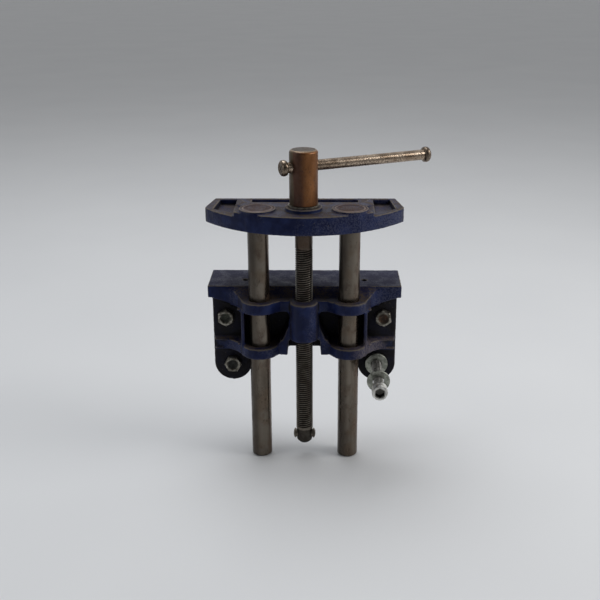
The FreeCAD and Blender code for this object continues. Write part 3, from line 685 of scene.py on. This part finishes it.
def rear_additions(edit):
    """What the casting's plain CAD solid leaves out: the flange's rise to the ends of the jaw,
    and fillets in the corners of its windows and where its flanges meet the plate."""
    face, near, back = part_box("rear_jaw_casting")[1].z, 12 * MM, 18 * MM
    for side in (-1, 1):
        def wing(x, front, bottom, shelf, ramp):
            return (side * x * MM, [
                (back, bottom * MM), (front * MM, bottom * MM), (front * MM, shelf * MM),
                (ramp * MM, shelf * MM), (near + 0.2 * MM, face - 0.6 * MM), (back, face - 0.6 * MM)])
        loft(edit, [
            wing(50.0, -2.0, 148.6, 159.0, 1.0), wing(57.0, -5.2, 148.6, 159.0, 1.5),
            wing(61.7, 4.9, 148.6, 160.6, 6.0), wing(66.0, 9.6, 149.0, 163.6, 10.4),
            wing(72.0, 11.6, 151.0, 166.0, 11.8), wing(79.0, 12.0, 153.4, 166.6, 12.1),
            wing(87.0, 12.0, 155.7, 166.7, 12.1)])
        for x, z, across, up, radius, front in (
                (12.9, WINDOW_TOP, 1, -1, 6.0, -4.5), (55.2, WINDOW_TOP, -1, -1, 3.5, -5.5),
                (55.2, WINDOW_BOTTOM, -1, 1, 4.5, -5.5), (22.2, WINDOW_BOTTOM, 1, 1, 5.0, -4.5)):
            fillet(edit, (side * x * MM, z * MM), (side * across, up), radius * MM, front * MM, back)
        for z, up in ((WINDOW_TOP, -1), (WINDOW_BOTTOM, 1)):
            fillet(edit, (side * 58.2 * MM, z * MM), (side, up), 4.0 * MM, -3.0 * MM, back)
        ends = sorted((side * 57.0 * MM, side * 85.0 * MM))
        for z, up, radius in ((WINDOW_BOTTOM, 1, 5.0), (105.0, -1, 4.0)):
            fillet(edit, (14.0 * MM, z * MM), (-1, up), radius * MM, *ends, "YZX")


def front_additions(edit):
    """Ridges round the riveted rod ends and low ribs from the rod bosses to the far corners."""
    for node in ("guide_rod_left", "guide_rod_right"):
        low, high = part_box(node)
        centre = (low + high) / 2
        side = 1 if centre.x > 0 else -1
        centre.z = 244.4 * MM
        ring_ridge(edit, centre, 12.7 * MM, 1.0 * MM)
        ring_ridge(edit, centre, 15.7 * MM, 0.9 * MM)
        loft(edit, [(side * x * MM, [(y0 * MM, 236 * MM), (y1 * MM, 236 * MM),
                                     (y1 * MM, top * MM), (y0 * MM, top * MM)])
                    for x, y0, y1, top in ((46.0, 8.0, 22.0, 243.2), (55.0, 16.0, 34.0, 242.4),
                                           (62.0, 30.0, 56.0, 240.4), (64.0, 36.0, 56.0, 239.4))])


def castings():
    rear_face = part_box("rear_jaw_casting")[1].z
    rear = cast("rear_jaw", "rear_jaw_casting", rear_additions,
                0.75 * MM, 9, 0.35 * MM, CAD_LOW.z, rear_face)
    paint = enamel("rear_enamel", film_low=165 * MM, film_high=168 * MM, shaded_depth=12.5 * MM,
                   dusty_side=58 * MM, ring_level=NOWHERE)
    settle(rear, "rear_jaw_casting", paint, ALL_SMOOTH)
    front_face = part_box("front_jaw_casting")[0].z
    front = cast("front_jaw", "front_jaw_casting", front_additions,
                 0.65 * MM, 5, 0.30 * MM, front_face, CAD_HIGH.z)
    paint = enamel("front_enamel", film_low=NOWHERE, film_high=NOWHERE, shaded_depth=NOWHERE,
                   dusty_side=18 * MM, ring_level=230 * MM)
    settle(front, "front_jaw_casting", paint, ALL_SMOOTH)


# ---------------------------------------------------------------- turned pieces

def guide_rods(material):
    for node in ("guide_rod_left", "guide_rod_right"):
        low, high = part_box(node)
        chamfer, flare = 1.2 * MM, 2.4 * MM
        rows = corner_rows([
            (0, low.z), (ROD_RADIUS - chamfer, low.z), (ROD_RADIUS, low.z + chamfer),
            (ROD_RADIUS, high.z - flare), (11.5 * MM, high.z), (10.2 * MM, high.z),
            (9.6 * MM, high.z - 0.5 * MM), (0, high.z - 0.3 * MM)], 0.4 * MM)
        rod = turned(node.replace("guide_", "") + "_bar", rows)
        centre = (low + high) / 2
        placed(rod, Matrix.Translation((centre.x, centre.y, 0)))
        settle(rod, node, material)


def lead_screw(material):
    low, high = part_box("lead_screw")
    start, stop = SCREW_THREAD
    end_radius, end_top = 7.4 * MM, 27 * MM
    groove_low, groove_high, groove_radius = 226.3 * MM, 228.4 * MM, 6.8 * MM
    rows = corner_rows([
        (0, low.z), (4.4 * MM, low.z), (end_radius, low.z + 3 * MM), (end_radius, end_top),
        (SCREW_RADIUS, end_top + 0.6 * MM), (SCREW_RADIUS, start)], 0.8 * MM)
    pitch = SCREW_LEAD / SCREW_STARTS
    rows += thread_rows(SCREW_RADIUS, start, stop, pitch)[1:]
    rows += [(SCREW_RADIUS, groove_low), (groove_radius, groove_low), (groove_radius, groove_high),
             (SCREW_RADIUS, groove_high), (SCREW_RADIUS, high.z), (0, high.z)]
    screw = turned("screw_spindle", rows, 60,
                   thread=(start, stop, pitch, SCREW_TOOTH, 0.30, SCREW_STARTS))
    settle(screw, "lead_screw", material, 50)

    low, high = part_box("end_stop_pin")
    half, neck, dome = (high.x - low.x) / 2, 8.3 * MM, 4.8 * MM
    shank = 3.9 * MM
    rows = [(0, -half), (2.4 * MM, -half + 0.25 * MM), (4.0 * MM, -half + 0.9 * MM),
            (dome, -half + 1.7 * MM), (dome, -neck), (shank, -neck)]
    rows += [(radius, -place) for radius, place in reversed(rows)]
    pin = turned("stop_pin", rows, 48)
    turn = Matrix.Translation((0, 0, (low.z + high.z) / 2)) @ Matrix.Rotation(math.pi / 2, 4, "Y")
    settle(placed(pin, turn), "end_stop_pin", material)


def handle_matrix():
    along = Vector((math.cos(HANDLE_AZIMUTH), math.sin(HANDLE_AZIMUTH), 0))
    turn = along.to_track_quat("Z", "Y").to_matrix().to_4x4()
    return Matrix.Translation((0, 0, HANDLE_HEIGHT)) @ turn


def screw_head(material):
    low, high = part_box("screw_head")
    radius, rim = (high.x - low.x) / 2, 1.7 * MM
    # The 1.0 on the rim's upper corner marks a painted highlight on the chamfer.
    rows = corner_rows([
        (0, low.z), (radius - 0.5 * MM, low.z), (radius, low.z + 0.5 * MM),
        (radius, high.z - rim), (radius - rim, high.z, 1.0), (radius - rim - 1 * MM, high.z),
        (0, high.z)], 0.8 * MM)
    head = turned("spindle_head", rows, 128)
    bore, reach = BAR_RADIUS + 0.3 * MM, 30 * MM
    cutter = turned("handle_hole_cutter", [(0, -reach), (bore, -reach), (bore, reach), (0, reach)], 64)
    placed(cutter, handle_matrix())
    hole = head.modifiers.new("cross_hole", "BOOLEAN")
    hole.operation, hole.object, hole.solver = "DIFFERENCE", cutter, "EXACT"
    graph = bpy.context.evaluated_depsgraph_get()
    finished = bpy.data.meshes.new_from_object(head.evaluated_get(graph))
    head.modifiers.clear()
    head.data = finished
    bpy.data.objects.remove(cutter)
    settle(head, "screw_head", material)


def handle(material):
    start, end, cap = -18.5 * MM, 122.5 * MM, 6.2 * MM
    lay = handle_matrix()
    bar = turned("handle_rod", [(0, start), (BAR_RADIUS, start), (BAR_RADIUS, end), (0, end)], 64)
    settle(placed(bar, lay), "handle_bar", material)
    knobs = nickel("knob_nickel", (0.120, 0.090, 0.066), (0.330, 0.265, 0.205), (0.050, 0.031, 0.020))
    inner_end, outer_end = -22.0 * MM, 126.0 * MM
    for node, place, turn in (("handle_cap_inner", inner_end, 0), ("handle_cap_outer", outer_end, math.pi)):
        rows = corner_rows([
            (0, 0.35 * MM, 0.5), (4.2 * MM, 0.35 * MM, 0.5), (4.9 * MM, 0, 0.1),
            (CAP_RADIUS - 1.9 * MM, 0), (CAP_RADIUS - 0.4 * MM, 1.1 * MM),
            (CAP_RADIUS, 2.4 * MM), (CAP_RADIUS, cap - 2.4 * MM),
            (CAP_RADIUS - 0.4 * MM, cap - 1.1 * MM), (CAP_RADIUS - 1.9 * MM, cap), (0, cap)], 0.7 * MM)
        rows[1:1] = [(radius * MM, 0.35 * MM, 0.5) for radius in (0.6, 1.2, 1.8, 2.4, 3.0, 3.6)]
        knob = turned(node.replace("handle_", "knob_"), rows, 96)
        peen(knob.data)
        lie = lay @ Matrix.Translation((0, 0, place)) @ Matrix.Rotation(turn, 4, "X")
        settle(placed(knob, lie), node, knobs)


def peen(mesh):
    """The crossed marks of the punch that spread the bar's end in its cap."""
    arm, half_width, deep = 4.0 * MM, 0.55 * MM, 0.45 * MM
    stains = mesh.attributes["stain_and_highlight"].data
    for vertex, stain_and_highlight in zip(mesh.vertices, stains):
        x, y, z = vertex.co
        if z > 0.5 * MM or math.hypot(x, y) > arm:
            continue
        across = min(abs(x + y), abs(x - y)) / math.sqrt(2)
        cut = max(0.0, 1 - across / half_width)
        vertex.co.z += deep * cut
        stain_and_highlight.value = max(stain_and_highlight.value, min(1.0, 1.4 * cut))


def washer(node, name, material, edge=0.25 * MM):
    """A flat washer, from its CAD box, about whichever axis it is thin along."""
    low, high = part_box(node)
    size, centre = high - low, (low + high) / 2
    thin = min(range(3), key=lambda axis: size[axis])
    outer, half = max(size) / 2, size[thin] / 2
    inner = THRUST_WASHER_BORE if node == "thrust_washer" else WASHER_BORE
    rows = [(inner, -half + edge), (inner + edge, -half), (outer - edge, -half), (outer, -half + edge),
            (outer, half - edge), (outer - edge, half), (inner + edge, half), (inner, half - edge)]
    piece = turned(name, rows, 80, ring=True)
    turn = Matrix.Rotation(math.pi / 2, 4, "X") if thin == 1 else Matrix.Identity(4)
    settle(placed(piece, Matrix.Translation(centre) @ turn), node, material)


def facing_front(node, underside):
    """Turns a fastener built along +Z to face -Y, on the axis of its CAD node."""
    low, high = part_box(node)
    centre = (low + high) / 2
    turn = Matrix.Rotation(math.pi / 2, 4, "X")
    return Matrix.Translation((centre.x, underside, centre.z)) @ turn


def hex_bolt(node, material, spin):
    low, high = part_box(node)
    head, shank = BOLT_HEAD, -(high.y - low.y - BOLT_HEAD)
    corner, flat = HEX_APOTHEM / math.cos(math.pi / 6), HEX_APOTHEM
    inner = 5.0 * MM
    rows = [(0, head - BOLT_DISH, 1.0), (inner - 1.4 * MM, head - BOLT_DISH, 1.0),
            (inner - 0.5 * MM, head - BOLT_DISH + 0.5 * MM, 0.8), (inner, head - 0.25 * MM, 0.3),
            (inner + 0.35 * MM, head), (flat - 0.6 * MM, head),
            (flat - 0.1 * MM, head - 0.2 * MM, 0, flat), (corner, head - 1.0 * MM, 0, flat),
            (corner, 0.5 * MM, 0, flat), (corner - 0.4 * MM, 0, 0, flat), (BOLT_RADIUS, 0)]
    start, stop = -8 * MM, shank + 0.8 * MM
    rows += list(reversed(thread_rows(BOLT_RADIUS, stop, start, BOLT_PITCH)))
    rows += [(BOLT_RADIUS - 0.8 * MM, shank), (0, shank)]
    bolt = turned(node.replace("mounting_", "hex_"), rows, 72,
                  thread=(stop, start, BOLT_PITCH, BOLT_TOOTH, 0.12, 1), spin=spin)
    settle(placed(bolt, facing_front(node, low.y + BOLT_HEAD)), node, material)


def hex_nut(node, material):
    low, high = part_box(node)
    half, flat = (high.y - low.y) / 2, HEX_APOTHEM
    corner, bore = HEX_APOTHEM / math.cos(math.pi / 6), BOLT_RADIUS
    rows = [(bore, -half + 0.5 * MM), (bore + 0.5 * MM, -half), (flat - 0.3 * MM, -half),
            (corner, -half + 0.9 * MM, 0, flat), (corner, half - 0.9 * MM, 0, flat),
            (flat - 0.3 * MM, half), (bore + 0.5 * MM, half), (bore, half - 0.5 * MM)]
    nut = turned(node.replace("mounting_", "hex_") + "_piece", rows, 72, ring=True, spin=0.3)
    settle(placed(nut, facing_front(node, (low.y + high.y) / 2)), node, material)


def cap_screw(material):
    node = "long_cap_screw"
    low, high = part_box(node)
    head, radius = CAP_SCREW_HEAD, CAP_SCREW_HEAD_RADIUS
    shank = -(high.y - low.y - head)
    floor = head - SOCKET_DEPTH
    wide = SOCKET_APOTHEM / math.cos(math.pi / 6)
    rows = [(0, floor - 1.2 * MM, 1.0), (SOCKET_APOTHEM - 0.5 * MM, floor, 1.0),
            (wide, floor, 1.0, SOCKET_APOTHEM), (wide, head - 0.5 * MM, 0.8, SOCKET_APOTHEM),
            (wide + 0.5 * MM, head - 0.1 * MM, 0.2), (wide + 0.8 * MM, head),
            (radius - 0.9 * MM, head), (radius - 0.25 * MM, head - 0.3 * MM),
            (radius, head - 1.0 * MM), (radius, 0.5 * MM), (radius - 0.4 * MM, 0),
            (BOLT_RADIUS + 0.2 * MM, 0, 0.6), (BOLT_RADIUS, -0.4 * MM, 0.6)]
    start, stop = -1.5 * MM, shank + 0.8 * MM
    rows += [row + (0.55,) for row in reversed(thread_rows(BOLT_RADIUS, stop, start, BOLT_PITCH))]
    rows += [(BOLT_RADIUS - 0.8 * MM, shank, 0.5), (0, shank, 0.5)]
    screw = turned("socket_cap_screw", rows, 96, thread=(stop, start, BOLT_PITCH, BOLT_TOOTH, 0.12, 1))
    settle(placed(screw, facing_front(node, low.y + head)), node, material)


def fasteners():
    dishes = {
        "mounting_bolt_upper_left": ((0.030, 0.034, 0.022), 0.0),
        "mounting_bolt_upper_right": ((0.085, 0.040, 0.017), 0.12),
        "mounting_bolt_lower_left": ((0.020, 0.021, 0.017), math.pi / 6),
    }
    for node, (dish, spin) in dishes.items():
        hex_bolt(node, bolt_finish(node.replace("mounting_", "") + "_finish", dish), spin)
    nuts = bolt_finish("nut_finish", GRIME_AND_SHADE)
    for node in ("mounting_nut_upper_left", "mounting_nut_upper_right",
                 "mounting_nut_lower_left", "cap_screw_nut"):
        hex_nut(node, nuts)
    plated = zinc("zinc_washers", (0.42, 0.43, 0.38), (0.20, 0.21, 0.18), 0.40)
    for node in ("seated_washer_back", "seated_washer_front", "loose_washer"):
        washer(node, node.replace("washer", "ring"), plated)
    cap_screw(zinc("bright_zinc", (0.80, 0.79, 0.75), (0.50, 0.49, 0.46), 0.32))


# ---------------------------------------------------------------- stage, light and camera

def floor():
    half = 30.0
    corners = [(-half, -half, 0), (half, -half, 0), (half, half, 0), (-half, half, 0)]
    mesh = bpy.data.meshes.new("floor")
    mesh.from_pydata(corners, [], [(0, 1, 2, 3)])
    ground = mesh_object("floor", mesh)
    ground.location.z = CAD_LOW.z
    look = Finish("pale_floor", 0.55)
    look.colour(look.mix(look.noise(0.25, 2), (0.62, 0.63, 0.65), (0.68, 0.69, 0.705)))
    mesh.materials.append(look.material)


def area_light(name, place, size, power, colour):
    lamp = bpy.data.lights.new(name, "AREA")
    lamp.shape, lamp.size, lamp.energy, lamp.color = "DISK", size, power, colour
    light = bpy.data.objects.new(name, lamp)
    light.location = place
    aim = (CAD_LOW + CAD_HIGH) / 2 - Vector(place)
    light.rotation_euler = aim.to_track_quat("-Z", "Y").to_euler()
    bpy.context.scene.collection.objects.link(light)


def lighting():
    area_light("window", (1.20, -0.15, 0.95), 0.8, 9.5, (1.0, 0.985, 0.96))
    area_light("ceiling", (-0.25, 0.45, 1.60), 1.2, 13.0, (0.97, 0.985, 1.0))
    area_light("left_strip", (-1.10, -0.30, 0.45), 0.35, 1.1, (0.96, 0.98, 1.0))
    world = bpy.data.worlds.new("room")
    world.use_nodes = True
    nodes, links = world.node_tree.nodes, world.node_tree.links
    where = nodes.new("ShaderNodeTexCoord")
    parts = nodes.new("ShaderNodeSeparateXYZ")
    links.new(where.outputs["Generated"], parts.inputs[0])
    far = nodes.new("ShaderNodeMapRange")
    links.new(parts.outputs["Y"], far.inputs["Value"])
    limits = {"From Min": -0.8, "From Max": 0.6, "To Min": 0.05, "To Max": 0.55}
    for socket, number in limits.items():
        far.inputs[socket].default_value = number
    backdrop = nodes["Background"]
    backdrop.inputs["Color"].default_value = (0.98, 0.99, 1.0, 1.0)
    links.new(far.outputs["Result"], backdrop.inputs["Strength"])
    bpy.context.scene.world = world


def camera():
    yaw, pitch, roll = CAMERA_YAW, CAMERA_PITCH, CAMERA_ROLL
    level = Vector((-math.sin(yaw), math.cos(yaw), 0))
    ahead = level * math.cos(pitch) - Vector((0, 0, math.sin(pitch)))
    right = Vector((math.cos(yaw), math.sin(yaw), 0))
    up = right.cross(ahead)
    across = right * math.cos(roll) + up * math.sin(roll)
    upright = up * math.cos(roll) - right * math.sin(roll)
    lens = bpy.data.cameras.new("camera")
    lens.lens, lens.sensor_width, lens.clip_end = CAMERA_LENS, 36.0, 20.0
    eye = bpy.data.objects.new("camera", lens)
    turn = Matrix((across, upright, -ahead)).transposed().to_4x4()
    eye.matrix_world = Matrix.Translation(CAMERA_PLACE) @ turn
    bpy.context.scene.collection.objects.link(eye)
    bpy.context.scene.camera = eye


def build():
    bpy.context.scene.view_settings.view_transform = "Standard"
    castings()
    guide_rods(rod_steel())
    dark = screw_steel()
    lead_screw(dark)
    screw_head(head_patina())
    washer("thrust_washer", "thrust_ring",
           zinc("thrust_washer_finish", (0.19, 0.175, 0.150), (0.085, 0.075, 0.060), 0.45), 0.3 * MM)
    spring = frame["nodes"]["retaining_ring"]
    spring.data.materials.clear()
    spring.data.materials.append(dark)
    handle(nickel("bar_nickel", (0.230, 0.170, 0.122), (0.520, 0.420, 0.325), (0.060, 0.036, 0.022)))
    fasteners()
    floor()
    lighting()
    camera()


build()
